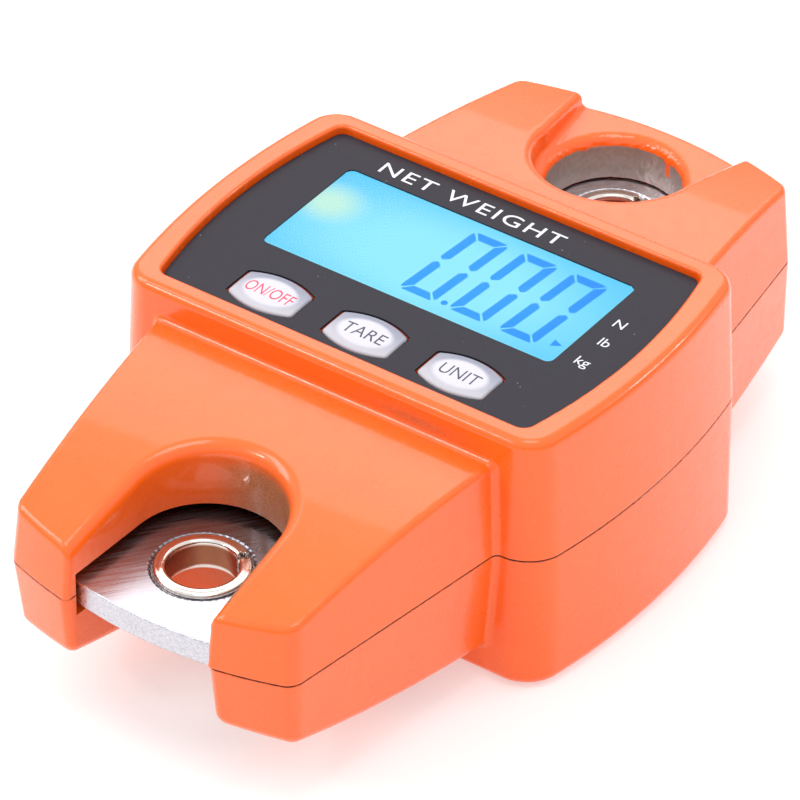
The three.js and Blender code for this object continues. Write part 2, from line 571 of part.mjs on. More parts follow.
// door: plate, two hooked tabs at the hinge end, a guide rib at the latch end
let door = box(-DOOR_HALF_X, DOOR_HALF_X, DOOR_Y0, DOOR_Y1, Z_BOTTOM, Z_BOTTOM + DOOR_T);
for (const x of [-13, 13]) {
  door = door.add(box(x - 2.6, x + 2.6, DOOR_Y0, DOOR_Y0 + 0.9, Z_BOTTOM + DOOR_T - 0.2, Z_BOTTOM + BACK_PLATE_T + 1.0));
  door = door.add(box(x - 2.6, x + 2.6, DOOR_Y0 - 1.2, DOOR_Y0 + 0.9, Z_BOTTOM + BACK_PLATE_T + 0.25, Z_BOTTOM + BACK_PLATE_T + 1.0));
}
door = door.add(box(-6, 6, DOOR_Y1 - 1.4, DOOR_Y1 - 0.5, Z_BOTTOM + DOOR_T - 0.2, Z_BOTTOM + BACK_PLATE_T + 0.9));
// finger scallop at the latch end
door = door.subtract(cyl(0, DOOR_Y1 - 0.6, Z_BOTTOM - 1, Z_BOTTOM + 0.6, 4.6, 3.9, 24));
add('battery_cover', door, mat(0x2b2b2e, 0.6, 0));

// -------------------------------------------------------------------- wiring
add('sensor_cable', sweep([[13.6, 10.6, 1.6], [16.2, 10.6, 1.9], [18.2, 10.6, 3.2], [19.0, 10.6, 5.2], [19.0, 10.6, 7.1]], [[-0.3, -2.2], [0.3, -2.2], [0.3, 2.2], [-0.3, 2.2]], 8), mat(0xb8b8b8, 0.5, 0));
add('battery_lead_red', sweep([[-24.2, 14.2, -4.3], [-24.2, 14.2, -2.2], [-23.6, 13.4, 1.5], [-22.8, 12.4, 5.0], [-22.6, 12.2, 7.1]], round(0.55, 6), 9), mat(0xb3261e, 0.5, 0));
add('battery_lead_black', sweep([[24.2, -14.2, -4.3], [24.2, -14.2, -2.2], [23.6, -13.4, 1.5], [22.8, -12.4, 5.0], [22.6, -12.2, 7.1]], round(0.55, 6), 9), mat(0x1c1c1e, 0.5, 0));

// origin: middle of the base
scale.updateMatrixWorld(true);
const bounds = new THREE.Box3().setFromObject(scale, true);
scale.position.set(0, -(bounds.min.y + bounds.max.y) / 2, -Z_BOTTOM);
scale.name = 'crane_scale';
export default scale;
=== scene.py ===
import bpy
import math
import numpy as np
from mathutils import Matrix, Vector


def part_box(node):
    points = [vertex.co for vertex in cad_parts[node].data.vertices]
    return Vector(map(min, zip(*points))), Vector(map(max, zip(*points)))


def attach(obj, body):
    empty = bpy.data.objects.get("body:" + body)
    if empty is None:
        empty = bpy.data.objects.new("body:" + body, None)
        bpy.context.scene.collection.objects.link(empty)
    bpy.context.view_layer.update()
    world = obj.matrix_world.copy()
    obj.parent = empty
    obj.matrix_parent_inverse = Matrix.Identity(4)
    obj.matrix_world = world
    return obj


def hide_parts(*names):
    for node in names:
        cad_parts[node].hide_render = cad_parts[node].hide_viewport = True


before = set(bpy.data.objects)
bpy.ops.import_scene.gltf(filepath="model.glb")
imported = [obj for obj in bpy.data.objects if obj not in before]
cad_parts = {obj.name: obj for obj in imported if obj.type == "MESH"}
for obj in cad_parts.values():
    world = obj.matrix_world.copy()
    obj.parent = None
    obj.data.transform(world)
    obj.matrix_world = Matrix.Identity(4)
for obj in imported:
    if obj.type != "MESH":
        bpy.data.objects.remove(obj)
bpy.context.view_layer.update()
scene = bpy.context.scene

# fit frame (mm): z = 0 is the parting plane, y = 0 the body centre
_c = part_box("load_cell")
Z0 = (_c[0].z + _c[1].z) * 500.0
Y0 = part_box("front_shell")[1].y * 1000.0 - 56.2


def row(x, y, z):
    return (x / 1000.0, (y + Y0) / 1000.0, (z + Z0) / 1000.0)


# ------------------------------------------------------------------ camera
def camera():
    b = Vector((0.46025, -0.64825, 0.60658)).normalized()
    r = Vector((0.8155, 0.5788, 0.0))
    u = Vector((-0.3511, 0.4947, 0.7950))
    a = math.radians(0.18)
    r2 = (r * math.cos(a) + u * math.sin(a)).normalized()
    u2 = b.cross(r2).normalized()
    data = bpy.data.cameras.new("cam")
    data.lens = 315.67
    data.sensor_width = 36.0
    data.sensor_fit = "HORIZONTAL"
    data.clip_start = 0.02
    data.clip_end = 20.0
    cam = bpy.data.objects.new("cam", data)
    m = Matrix.Identity(4)
    for i in range(3):
        m[i][0] = r2[i]
        m[i][1] = u2[i]
        m[i][2] = b[i]
    at = Vector(row(420.302, -598.676, 555.569)) - r2 * 0.000119
    m[0][3], m[1][3], m[2][3] = at
    cam.matrix_world = m
    scene.collection.objects.link(cam)
    scene.camera = cam


camera()
scene.view_settings.view_transform = "Standard"
scene.view_settings.look = "None"


# ----------------------------------------------------------- field helpers
def rmax(a, b, r):
    if r <= 0:
        return np.maximum(a, b)
    return np.minimum(np.maximum(a, b), -r) + np.hypot(np.maximum(a + r, 0), np.maximum(b + r, 0))


def rmin(a, b, r):
    if r <= 0:
        return np.minimum(a, b)
    return np.maximum(np.minimum(a, b), r) - np.hypot(np.maximum(r - a, 0), np.maximum(r - b, 0))


def cut(a, b, r=0.0):
    return rmax(a, -b, r)


def boxd(x, y, z, x0, x1, y0, y1, z0, z1, r=0.0):
    dx = np.abs(x - (x0 + x1) / 2) - (x1 - x0) / 2
    dy = np.abs(y - (y0 + y1) / 2) - (y1 - y0) / 2
    dz = np.abs(z - (z0 + z1) / 2) - (z1 - z0) / 2
    return rmax(rmax(dx, dy, r), dz, r)


def cyld(x, y, z, cx, cy, r, z0, z1, e=0.0):
    return rmax(np.hypot(x - cx, y - cy) - r, np.abs(z - (z0 + z1) / 2) - (z1 - z0) / 2, e)


def wave(x, y, z, s):
    # smooth repeatable unevenness, about -1..1
    return (np.sin(x * s + 1.3 * np.sin(y * s * 0.73 + 0.4)) * np.cos(y * s * 1.11 + 0.9 * np.sin(z * s + 1.7))
            + 0.6 * np.sin((x - y) * s * 1.9 + 2.1 * np.cos(z * s * 0.6))) / 1.6


def contour(f, xs, ys, zs):
    """Dual contouring of the zero level of f on a rectilinear grid: vertices, quads."""
    ax = [np.asarray(v, float) for v in (xs, ys, zs)]
    n = [len(v) for v in ax]
    V = np.empty(n)
    step = max(1, int(400000 / (n[1] * n[2])))
    for i in range(0, n[0], step):
        X, Y, Z = np.meshgrid(ax[0][i:i + step], ax[1], ax[2], indexing="ij")
        V[i:i + step] = f(X, Y, Z)
    ins = V < 0
    cd = (n[1] - 1) * (n[2] - 1)
    cell_ids, P_all, N_all, quad_cells = [], [], [], []
    for a in range(3):
        s0 = [slice(None)] * 3
        s1 = [slice(None)] * 3
        s0[a] = slice(0, -1)
        s1[a] = slice(1, None)
        s0, s1 = tuple(s0), tuple(s1)
        cross = ins[s0] != ins[s1]
        idx = np.argwhere(cross)
        if not len(idx):
            continue
        v0, v1, in0 = V[s0][cross], V[s1][cross], ins[s0][cross]
        lo = np.stack([ax[k][idx[:, k]] for k in range(3)], 1)
        hi = lo.copy()
        hi[:, a] = ax[a][idx[:, a] + 1]
        ta, tb = np.zeros(len(idx)), np.ones(len(idx))
        fa, fb = v0.copy(), v1.copy()
        for it in range(6):
            t = ta + (tb - ta) * np.clip(fa / (fa - fb + 1e-30), 0.05, 0.95)
            if it % 3 == 2:
                t = (ta + tb) / 2
            p = lo + (hi - lo) * t[:, None]
            ft = f(p[:, 0], p[:, 1], p[:, 2])
            same = (ft < 0) == (fa < 0)
            ta, fa = np.where(same, t, ta), np.where(same, ft, fa)
            tb, fb = np.where(same, tb, t), np.where(same, fb, ft)
        t = ta + (tb - ta) * np.clip(fa / (fa - fb + 1e-30), 0, 1)
        p = lo + (hi - lo) * t[:, None]
        nn = gradient(f, p)
        o1, o2 = [(1, 2), (2, 0), (0, 1)][a]
        ok = (idx[:, o1] > 0) & (idx[:, o2] > 0) & (idx[:, o1] < n[o1] - 1) & (idx[:, o2] < n[o2] - 1)
        idx, p, nn, in0 = idx[ok], p[ok], nn[ok], in0[ok]
        ring = []
        for d1, d2 in ((-1, -1), (0, -1), (0, 0), (-1, 0)):
            c = idx.copy()
            c[:, o1] += d1
            c[:, o2] += d2
            ring.append(c[:, 0] * cd + c[:, 1] * (n[2] - 1) + c[:, 2])
        ring = np.stack(ring, 1)
        for k in range(4):
            cell_ids.append(ring[:, k])
            P_all.append(p)
            N_all.append(nn)
        quad_cells.append(np.where(in0[:, None], ring, ring[:, ::-1]))
    ids = np.concatenate(cell_ids)
    P, N = np.concatenate(P_all), np.concatenate(N_all)
    uniq, inv = np.unique(ids, return_inverse=True)
    m = len(uniq)
    cnt = np.bincount(inv, minlength=m).astype(float)
    mp = np.stack([np.bincount(inv, P[:, k], m) for k in range(3)], 1) / cnt[:, None]
    rel = P - mp[inv]
    d = (N * rel).sum(1)
    A = np.zeros((m, 3, 3))
    B = np.zeros((m, 3))
    for i in range(3):
        B[:, i] = np.bincount(inv, N[:, i] * d, m)
        for j in range(i, 3):
            A[:, i, j] = A[:, j, i] = np.bincount(inv, N[:, i] * N[:, j], m)
    w, U = np.linalg.eigh(A)
    keep = w > 0.08 * w[:, -1:]
    wi = np.where(keep, 1.0 / np.where(keep, w, 1.0), 0.0)
    q = np.einsum("nij,nj->ni", U, wi * np.einsum("nji,nj->ni", U, B))
    verts = mp + q
    ci = np.stack([uniq // cd, (uniq % cd) // (n[2] - 1), uniq % (n[2] - 1)], 1)
    for k in range(3):
        verts[:, k] = np.clip(verts[:, k], ax[k][ci[:, k]], ax[k][ci[:, k] + 1])
    quads = np.searchsorted(uniq, np.concatenate(quad_cells))
    return verts, quads


def gradient(f, p, e=0.012):
    g = np.empty_like(p)
    for k in range(3):
        a, b = p.copy(), p.copy()
        a[:, k] += e
        b[:, k] -= e
        g[:, k] = f(a[:, 0], a[:, 1], a[:, 2]) - f(b[:, 0], b[:, 1], b[:, 2])
    return g / (np.linalg.norm(g, axis=1, keepdims=True) + 1e-12)


def solid(name, f, xs, ys, zs, material, body="housing", nodes=(), masks=None):
    """Fine mesh of the field f, split normals taken from the field so that soft edges stay soft."""
    v, q = contour(f, xs, ys, zs)
    me = bpy.data.meshes.new(name)
    me.vertices.add(len(v))
    world = (v + np.array([0.0, Y0, Z0])) / 1000.0
    me.vertices.foreach_set("co", world.astype(np.float32).ravel())
    me.loops.add(len(q) * 4)
    me.loops.foreach_set("vertex_index", q.astype(np.int32).ravel())
    me.polygons.add(len(q))
    me.polygons.foreach_set("loop_start", np.arange(0, len(q) * 4, 4, dtype=np.int32))
    me.update(calc_edges=True)
    me.polygons.foreach_set("use_smooth", np.ones(len(q), bool))
    if masks:
        for key, values in masks(v[:, 0], v[:, 1], v[:, 2]).items():
            a = me.attributes.new(key, "FLOAT", "POINT")
            a.data.foreach_set("value", np.clip(values, 0, 1).astype(np.float32))
    cen = v[q].mean(1)
    lp = v[q] * 0.72 + cen[:, None, :] * 0.28
    ln = gradient(f, lp.reshape(-1, 3))
    me.normals_split_custom_set(ln.astype(np.float32))
    o = bpy.data.objects.new(name, me)
    scene.collection.objects.link(o)
    me.materials.append(material)
    if nodes:
        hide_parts(*nodes)
    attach(o, body)
    return o


def span(a, b, h):
    return np.linspace(a, b, max(2, int(round((b - a) / h)) + 1))


def joined(*parts):
    v = np.concatenate(parts)
    v = np.sort(v)
    return v[np.concatenate([[True], np.diff(v) > 0.02])]


# ----------------------------------------------------------------- materials
def lin(r, g, b):
    def c(u):
        u /= 255.0
        return u / 12.92 if u <= 0.04045 else ((u + 0.055) / 1.055) ** 2.4
    return (c(r), c(g), c(b), 1.0)


class Mat:
    def __init__(self, name, base=(0.5, 0.5, 0.5, 1), rough=0.5, metal=0.0):
        self.m = bpy.data.materials.new(name)
        self.m.use_nodes = True
        self.t = self.m.node_tree
        self.b = self.t.nodes["Principled BSDF"]
        self.set("Base Color", base)
        self.set("Roughness", rough)
        self.set("Metallic", metal)
        self.co = self.t.nodes.new("ShaderNodeTexCoord").outputs["Object"]
        self.normal = None

    def set(self, key, value):
        if hasattr(value, "links"):
            self.t.links.new(value, self.b.inputs[key])
        else:
            self.b.inputs[key].default_value = value
        return self

    def _in(self, socket, value):
        if hasattr(value, "links"):
            self.t.links.new(value, socket)
        else:
            socket.default_value = value

    def noise(self, mm, detail=2.0, rough=0.5, squeeze=None):
        n = self.t.nodes.new("ShaderNodeTexNoise")
        n.inputs["Scale"].default_value = 1000.0 / mm
        n.inputs["Detail"].default_value = detail
        n.inputs["Roughness"].default_value = rough
        vec = self.co
        if squeeze:
            mp = self.t.nodes.new("ShaderNodeMapping")
            mp.vector_type = "TEXTURE"
            mp.inputs["Rotation"].default_value = (0, 0, squeeze[3])
            mp.inputs["Scale"].default_value = squeeze[:3]
            self.t.links.new(vec, mp.inputs["Vector"])
            vec = mp.outputs["Vector"]
        self.t.links.new(vec, n.inputs["Vector"])
        return n.outputs["Fac"]

    def cells(self, mm):
        n = self.t.nodes.new("ShaderNodeTexVoronoi")
        n.inputs["Scale"].default_value = 1000.0 / mm
        self.t.links.new(self.co, n.inputs["Vector"])
        return n.outputs["Distance"]

    def math(self, op, a, b=0.0, clamp=False):
        n = self.t.nodes.new("ShaderNodeMath")
        n.operation = op
        n.use_clamp = clamp
        self._in(n.inputs[0], a)
        self._in(n.inputs[1], b)
        return n.outputs[0]

    def steps(self, v, lo, hi, a=0.0, b=1.0):
        n = self.t.nodes.new("ShaderNodeMapRange")
        n.interpolation_type = "SMOOTHSTEP"
        self._in(n.inputs["Value"], v)
        n.inputs["From Min"].default_value = lo
        n.inputs["From Max"].default_value = hi
        n.inputs["To Min"].default_value = a
        n.inputs["To Max"].default_value = b
        return n.outputs["Result"]

    def mix(self, fac, a, b):
        n = self.t.nodes.new("ShaderNodeMix")
        n.data_type = "RGBA"
        self._in(n.inputs[0], fac)
        self._in(n.inputs[6], a)
        self._in(n.inputs[7], b)
        return n.outputs[2]

    def attr(self, key):
        n = self.t.nodes.new("ShaderNodeAttribute")
        n.attribute_name = key
        return n.outputs["Fac"]

    def xyz(self):
        n = self.t.nodes.new("ShaderNodeSeparateXYZ")
        self.t.links.new(self.co, n.inputs[0])
        return n.outputs

    def bump(self, height, amp_mm, strength=1.0):
        n = self.t.nodes.new("ShaderNodeBump")
        n.inputs["Strength"].default_value = strength
        n.inputs["Distance"].default_value = amp_mm / 1000.0
        self._in(n.inputs["Height"], height)
        if self.normal is not None:
            self.t.links.new(self.normal, n.inputs["Normal"])
        self.normal = n.outputs["Normal"]
        self.t.links.new(self.normal, self.b.inputs["Normal"])
        return self


def plain(name, rgb, rough, metal=0.0, vary=0.12, grain=0.6, amp=0.004, cloud=7.0):
    """moulded or plated stock: faint clouding, fine grain, uneven gloss"""
    m = Mat(name, lin(*rgb), rough, metal)
    c = lin(*rgb)
    d = tuple(v * (1 - vary) for v in c[:3]) + (1,)
    m.set("Base Color", m.mix(m.noise(cloud, 3), d, c))
    m.set("Roughness", m.steps(m.noise(grain * 3, 2), 0.3, 0.7, rough * 0.85, min(1.0, rough * 1.15)))
    m.bump(m.noise(grain, 2), amp)
    return m.m


def orange(name):
    m = Mat(name, (0.9, 0.14, 0.01, 1), 0.3)
    c0, c1 = lin(255, 102, 14), lin(250, 95, 12)
    base = m.mix(m.noise(9, 3), c1, c0)
    speck = m.steps(m.cells(3.1), 0.045, 0.02)
    base = m.mix(m.math("MULTIPLY", speck, 0.35), base, lin(120, 45, 18))
    fine = m.noise(0.45, 3, 0.6)
    # mask from the shell attribute: a brown, more metallic tone on the slot wall, and a painted dark reflection under
    # the near rim
    brown_reflection_mask = m.steps(m.math("ADD", m.attr("brown_and_dark_reflection"), m.math("MULTIPLY", m.math("SUBTRACT", fine, 0.5), 0.22)), 0.02, 0.98)
    grainy_brown = m.mix(m.steps(m.noise(0.22, 2), 0.35, 0.7), lin(160, 96, 60), lin(190, 128, 90))
    base = m.mix(brown_reflection_mask, base, grainy_brown)
    bare = m.steps(m.math("ADD", m.attr("bare"), m.math("MULTIPLY", m.math("SUBTRACT", m.noise(1.1, 4, 0.65), 0.5), 0.75)), 0.42, 0.55)
    cast = m.mix(m.noise(0.5, 4, 0.6), lin(166, 152, 145), lin(204, 192, 184))
    base = m.mix(bare, base, cast)
    seam = m.steps(m.math("ADD", m.attr("seam"), m.math("MULTIPLY", m.math("SUBTRACT", m.noise(0.8, 4, 0.7), 0.5), 0.9)), 0.5, 1.0)
    base = m.mix(seam, base, lin(110, 42, 20))
    m.set("Base Color", base)
    met = m.math("ADD", m.math("MULTIPLY", brown_reflection_mask, 0.22), m.math("MULTIPLY", bare, 0.8), True)
    m.set("Metallic", met)
    r = m.steps(m.noise(2.6, 3), 0.3, 0.7, 0.22, 0.3)
    r = m.math("ADD", r, m.math("MULTIPLY", m.math("MAXIMUM", brown_reflection_mask, bare), 0.2))
    m.set("Roughness", r)
    m.set("Specular IOR Level", 0.4)
    m.set("Coat Weight", 0.55)
    m.set("Coat Roughness", 0.04)
    m.bump(m.noise(1.5, 2), 0.011)
    m.bump(m.noise(0.32, 2), 0.0025)
    return m.m


def aluminium(name):
    m = Mat(name, lin(196, 194, 200), 0.28, 1.0)
    streak = m.noise(0.3, 2, 0.5, (26.0, 1.0, 1.0, 0.9))
    scuff = m.noise(3.2, 4, 0.65)
    c = m.mix(m.steps(streak, 0.3, 0.7), lin(192, 190, 198), lin(212, 211, 217))
    c = m.mix(m.steps(scuff, 0.55, 0.75, 0.0, 0.2), c, lin(150, 148, 156))
    # painted shade: the plate is darkened and tinted blue where it runs in under the shells at the hook end, standing
    # in for a dark reflection there
    x, y, _ = m.xyz()
    t = m.math("ADD", y, m.math("MULTIPLY", x, -0.35))
    painted_shade_depth = m.steps(t, row(0, -60.0, 0)[1], row(0, -44.0, 0)[1])
    here = m.steps(y, row(0, -34.0, 0)[1], row(0, -26.0, 0)[1], 1.0, 0.0)
    c = m.mix(m.math("MULTIPLY", m.math("MULTIPLY", painted_shade_depth, here), 0.62), c, lin(76, 92, 108))
    m.set("Base Color", c)
    m.set("Roughness", m.steps(streak, 0.25, 0.75, 0.22, 0.38))
    m.bump(streak, 0.0022)
    return m.m


def chrome(name):
    m = Mat(name, lin(226, 220, 212), 0.09, 1.0)
    # this mask paints the inner bore wall brown and dull: a painted reflection of the shaded slot beneath
    bore_dark_reflection = m.attr("bore_dark_reflection")
    c = m.mix(m.noise(1.6, 3), lin(206, 198, 190), lin(232, 226, 220))
    m.set("Base Color", m.mix(bore_dark_reflection, c, m.mix(m.noise(2.2, 3), lin(132, 84, 62), lin(158, 100, 74))))
    m.set("Roughness", m.math("ADD", m.steps(m.noise(0.7, 3), 0.3, 0.75, 0.06, 0.16), m.math("MULTIPLY", bore_dark_reflection, 0.22)))
    m.bump(m.noise(0.6, 2), 0.003)
    return m.m


def overlay(name):
    m = Mat(name, lin(44, 42, 50), 0.45)
    m.set("Specular IOR Level", 0.16)
    base = m.mix(m.noise(0.35, 2), lin(43, 41, 48), lin(48, 46, 54))
    dust = m.steps(m.cells(1.7), 0.075, 0.03)
    pick = m.steps(m.noise(4.5, 2), 0.52, 0.66)
    base = m.mix(m.math("MULTIPLY", m.math("MULTIPLY", dust, pick), 0.6), base, lin(186, 184, 190))
    m.set("Base Color", base)
    m.set("Roughness", m.steps(m.noise(0.4, 2), 0.3, 0.7, 0.43, 0.48))
    m.bump(m.noise(0.2, 2), 0.0012)
    return m.m


def key_paint(name, cx):
    m = Mat(name, lin(222, 222, 232), 0.35)
    x, y, _ = m.xyz()
    kx, ky = row(cx, -14.7, 0)[:2]
    dx = m.math("DIVIDE", m.math("SUBTRACT", x, kx), 0.0042)
    dy = m.math("DIVIDE", m.math("SUBTRACT", y, ky), 0.0028)
    d = m.math("SQRT", m.math("ADD", m.math("MULTIPLY", dx, dx), m.math("MULTIPLY", dy, dy)))
    # painted shade: the key rim is darker than the centre and darkest toward the far (+y) side
    edge = m.mix(m.steps(dy, -1.3, 1.3), lin(178, 176, 184), lin(128, 131, 150))
    c = m.mix(m.steps(d, 0.82, 1.06), lin(201, 198, 210), edge)
    c = m.mix(m.math("MULTIPLY", m.noise(0.9, 3), 0.12), c, lin(190, 190, 198))
    m.set("Base Color", c)
    m.set("Roughness", m.steps(m.noise(0.5, 2), 0.3, 0.7, 0.3, 0.42))
    m.bump(m.noise(0.2, 2), 0.002)
    return m.m


def lit(name, stops, glow=True):
    m = Mat(name, (0.01, 0.012, 0.014, 1), 0.5)
    x, y, _ = m.xyz()
    gx, gy = row(-21.0, 6.6, 0)[:2]
    cx, cy = row(-1.0, 3.0, 0)[:2]
    ex = m.math("DIVIDE", m.math("SUBTRACT", x, cx), 0.026)
    ey = m.math("DIVIDE", m.math("SUBTRACT", y, cy), 0.0125)
    r = m.math("SQRT", m.math("ADD", m.math("MULTIPLY", ex, ex), m.math("MULTIPLY", ey, ey)))
    c = m.mix(m.steps(r, 0.35, 1.25), stops[0], stops[1])
    if glow:
        hx = m.math("DIVIDE", m.math("SUBTRACT", x, gx), 0.0062)
        hy = m.math("DIVIDE", m.math("SUBTRACT", y, gy), 0.0052)
        h = m.math("SQRT", m.math("ADD", m.math("MULTIPLY", hx, hx), m.math("MULTIPLY", hy, hy)))
        c = m.mix(m.steps(h, 0.15, 1.1, 0.9, 0.0), c, lin(200, 244, 222))
    m.set("Emission Color", c)
    m.set("Emission Strength", 1.0)
    m.set("Specular IOR Level", 0.05)
    m.bump(m.noise(0.5, 1), 0.001)
    return m.m


def ink(name, rgb, rough=0.45):
    m = Mat(name, lin(*rgb), rough)
    c = lin(*rgb)
    m.set("Base Color", m.mix(m.noise(0.3, 3), tuple(v * 0.86 for v in c[:3]) + (1,), c))
    m.bump(m.noise(0.15, 2), 0.0015)
    return m.m


def clear(name):
    m = Mat(name, (1, 1, 1, 1), 0.03)
    m.set("Transmission Weight", 1.0)
    m.set("IOR", 1.07)
    m.bump(m.noise(9.0, 1), 0.0004)
    return m.m


def can_label(name, cy):
    m = Mat(name, lin(40, 96, 78), 0.3, 0.25)
    x, _, _ = m.xyz()
    ax = m.math("ABSOLUTE", x)
    c = m.mix(m.noise(4, 3), lin(34, 88, 70), lin(48, 112, 90))
    c = m.mix(m.steps(ax, 0.0128, 0.0130), c, lin(196, 158, 86))
    c = m.mix(m.steps(ax, 0.0212, 0.0214), c, lin(190, 190, 192))
    m.set("Base Color", c)
    m.set("Metallic", m.steps(ax, 0.0128, 0.0130, 0.2, 0.85))
    m.set("Roughness", m.steps(m.noise(0.8, 3), 0.3, 0.7, 0.24, 0.36))
    m.bump(m.noise(0.7, 2), 0.002)
    return m.m


def board(name):
    m = Mat(name, lin(30, 100, 56), 0.38)
    tracks = m.steps(m.cells(2.1), 0.30, 0.36)
    c = m.mix(tracks, lin(36, 116, 66), lin(22, 84, 46))
    m.set("Base Color", m.mix(m.math("MULTIPLY", m.noise(1.2, 3), 0.3), c, lin(58, 132, 84)))
    m.set("Roughness", m.steps(m.noise(0.9, 2), 0.3, 0.7, 0.32, 0.46))
    m.bump(tracks, 0.02)
    return m.m


ORANGE = orange("orange_paint")
ALU = aluminium("plate_aluminium")
CHROME = chrome("chrome")
STEEL = plain("screw_steel", (150, 152, 156), 0.32, 1.0, 0.18, 0.5, 0.004, 2.0)
OVERLAY = overlay("overlay_black")
BLACK = plain("black_plastic", (44, 44, 48), 0.55, 0.0, 0.15, 0.28, 0.012, 9.0)

# ---------------------------------------------------------------- the shells
KEYS = [("on_off", -14.95), ("tare", 0.05), ("unit", 15.0)]
KY = -14.7


def plan(x, y):
    return rmax(np.hypot(np.abs(x) + 69.13, y) - 105.0, np.abs(y) - 24.2, 4.6)


def slotd(x, y, az):
    s = -y
    d = np.where(s < 49.0, np.hypot(x, s - 49.0) - 10.45, np.abs(x) - (10.45 + 0.5 * (s - 49.0) / 15.15))
    return d - 0.012 * az


def scoopd(x, y):
    return np.where(y < 42.6, np.hypot(x, y - 42.6) - 11.0, np.abs(x) - (11.0 + 2.2 * (y - 42.6) / 13.9))


# half width, taper, tip radius, then (back, front) side draft, top, sag
ARM_NEAR = (27.4, 0.1396, 64.7, 0.11, (0.08, 0.07), (15.7, 13.7), (0.0033, 0.0033))
ARM_FAR = (27.15, 0.148, 56.2, 0.0, (0.02, 0.11), (15.7, 13.5), (0.0031, 0.0026))


def arm_parts(x, y, az, near, up):
    s = -y if near else y
    half, k, tip, end_draft, draft, tops, sags = ARM_NEAR if near else ARM_FAR
    i = 1 if up > 0 else 0
    side = (np.abs(x) - (half - k * (s - 24.2) - draft[i] * az)) / 1.0107
    end = np.hypot(x, y) - (tip - end_draft * az)
    sag = sags[i]
    q = np.maximum(s - 20.0, 0)
    top = (az - (tops[i] - sag * q ** 2)) / np.sqrt(1 + (2 * sag * q) ** 2)
    return s, side, end, top


def skin(x, y, z, up):
    az = z * up
    zt = 18.3 if up > 0 else 20.5
    wall = plan(x, y) + (0.045 * az if up > 0 else 0.0)
    body = rmax(wall, az - zt, 1.4 if up > 0 else 1.5)
    edge = 0.8 if up > 0 else 1.4
    s, side, end, top = arm_parts(x, y, az, True, up)
    sl = slotd(x, y, az)
    near = rmax(rmax(top, -sl, 1.8), rmax(side, end, 1.3), edge)
    near = np.maximum(near, 12.0 - s)
    s, side, end, top = arm_parts(x, y, az, False, up)
    far = rmax(top, rmax(side, end, 1.3), edge)
    far = np.maximum(far, 12.0 - s)
    d = rmin(body, np.minimum(near, far), 0.9)
    scoop = rmax(scoopd(x, y), 8.6 - az, 0.9)
    d = cut(d, scoop, 1.3)
    ragged = 0.045 * wave(x, y, z, 3.1)
    d = cut(d, np.hypot(x, y - 42.6) - 9.2 + ragged, 1.7)
    return d


def hollow(x, y, z, up):
    az = z * up
    ceil = 14.3 if up > 0 else 17.9
    h = np.maximum(plan(x, y) + 2.5, az - ceil)
    for near in (True, False):
        s, side, end, top = arm_parts(x, y, az, near, up)
        a = np.maximum(np.maximum(side + 2.7, end + 2.7), np.maximum(top + 2.4, 20.0 - s))
        if near:
            a = np.maximum(a, 2.5 - slotd(x, y, az))
        else:
            a = np.maximum(a, 11.6 - np.hypot(x, y - 42.6))
            a = np.maximum(a, -np.maximum(scoopd(x, y) - 2.2, 6.4 - az))
        h = np.minimum(h, a)
    return h


def cell_outline(x, y):
    w = np.interp(y, [-36.0, -32.0, 19.0, 22.5], [14.6, 12.5, 12.5, 14.6])
    return rmax(np.abs(x) - w, np.hypot(x, y) - np.where(y < 0, 62.3, 52.5), 0.6)


def panel(x, y, off=0.0):
    half = 31.35 - off - 2.55 * (y / 20.25) ** 2
    return rmax((np.abs(x) - half) / 1.02, np.abs(y) - (20.25 - off), 1.2)


def barrel(x, y, cx, off=0.0):
    u = (x - cx) / 5.25
    return rmax(np.abs(x - cx) - (5.25 - off), np.abs(y - KY) - (3.95 - off - 1.4 * u * u), 0.35)


HS = [(-19.6, -32.5), (19.6, -32.5), (-20.2, 33.0), (20.2, 33.0)]
CS = [(-9.4, 27.2), (9.4, 27.2)]
PP = [(-26, -16.4), (26, -16.4), (-26, 16.9), (26, 16.9)]
WX0, WX1, WY0, WY1 = -22.9, 22.8, -5.95, 14.0


def channel(x, y, z):
    c = cell_outline(x, y) - 0.45
    return np.minimum(np.maximum(c, np.abs(z) - 2.1), np.maximum(np.maximum(c, np.abs(z) - 3.3), y + 33.5))


def front(x, y, z):
    d = skin(x, y, z, 1)
    d = cut(d, np.maximum(panel(x, y), 16.75 - z), 0.5)
    h = hollow(x, y, z, 1)
    for px, py in HS:
        h = np.maximum(h, -cyld(x, y, z, px, py, 3.1, -2, 11.2))
    for px, py in CS:
        h = np.maximum(h, -cyld(x, y, z, px, py, 3.4, 2.1, 12.4))
    for px, py in PP:
        h = np.maximum(h, -cyld(x, y, z, px, py, 2.3, 9.2, 15.0))
    d = np.maximum(d, -h)
    d = np.maximum(d, -channel(x, y, z))
    d = np.maximum(d, -boxd(x, y, z, WX0 - 1.6, WX1 + 1.6, WY0 - 1.6, WY1 + 1.6, 13, 18))
    for _, kx in KEYS:
        d = np.maximum(d, -np.maximum(barrel(x, y, kx, -0.1), np.abs(z - 15.5) - 2.4))
    for px, py in HS:
        d = np.maximum(d, -cyld(x, y, z, px, py, 1.45, -1, 8.6))
    for px, py in CS:
        d = np.maximum(d, -cyld(x, y, z, px, py, 1.75, 1, 10.2))
    for px, py in PP:
        d = np.maximum(d, -cyld(x, y, z, px, py, 1.05, 8, 13.6))
    lip = 0.06 + 0.015 * (1 + wave(x, y, 0 * z, 2.3))
    return rmax(d, lip - z, 0.13)


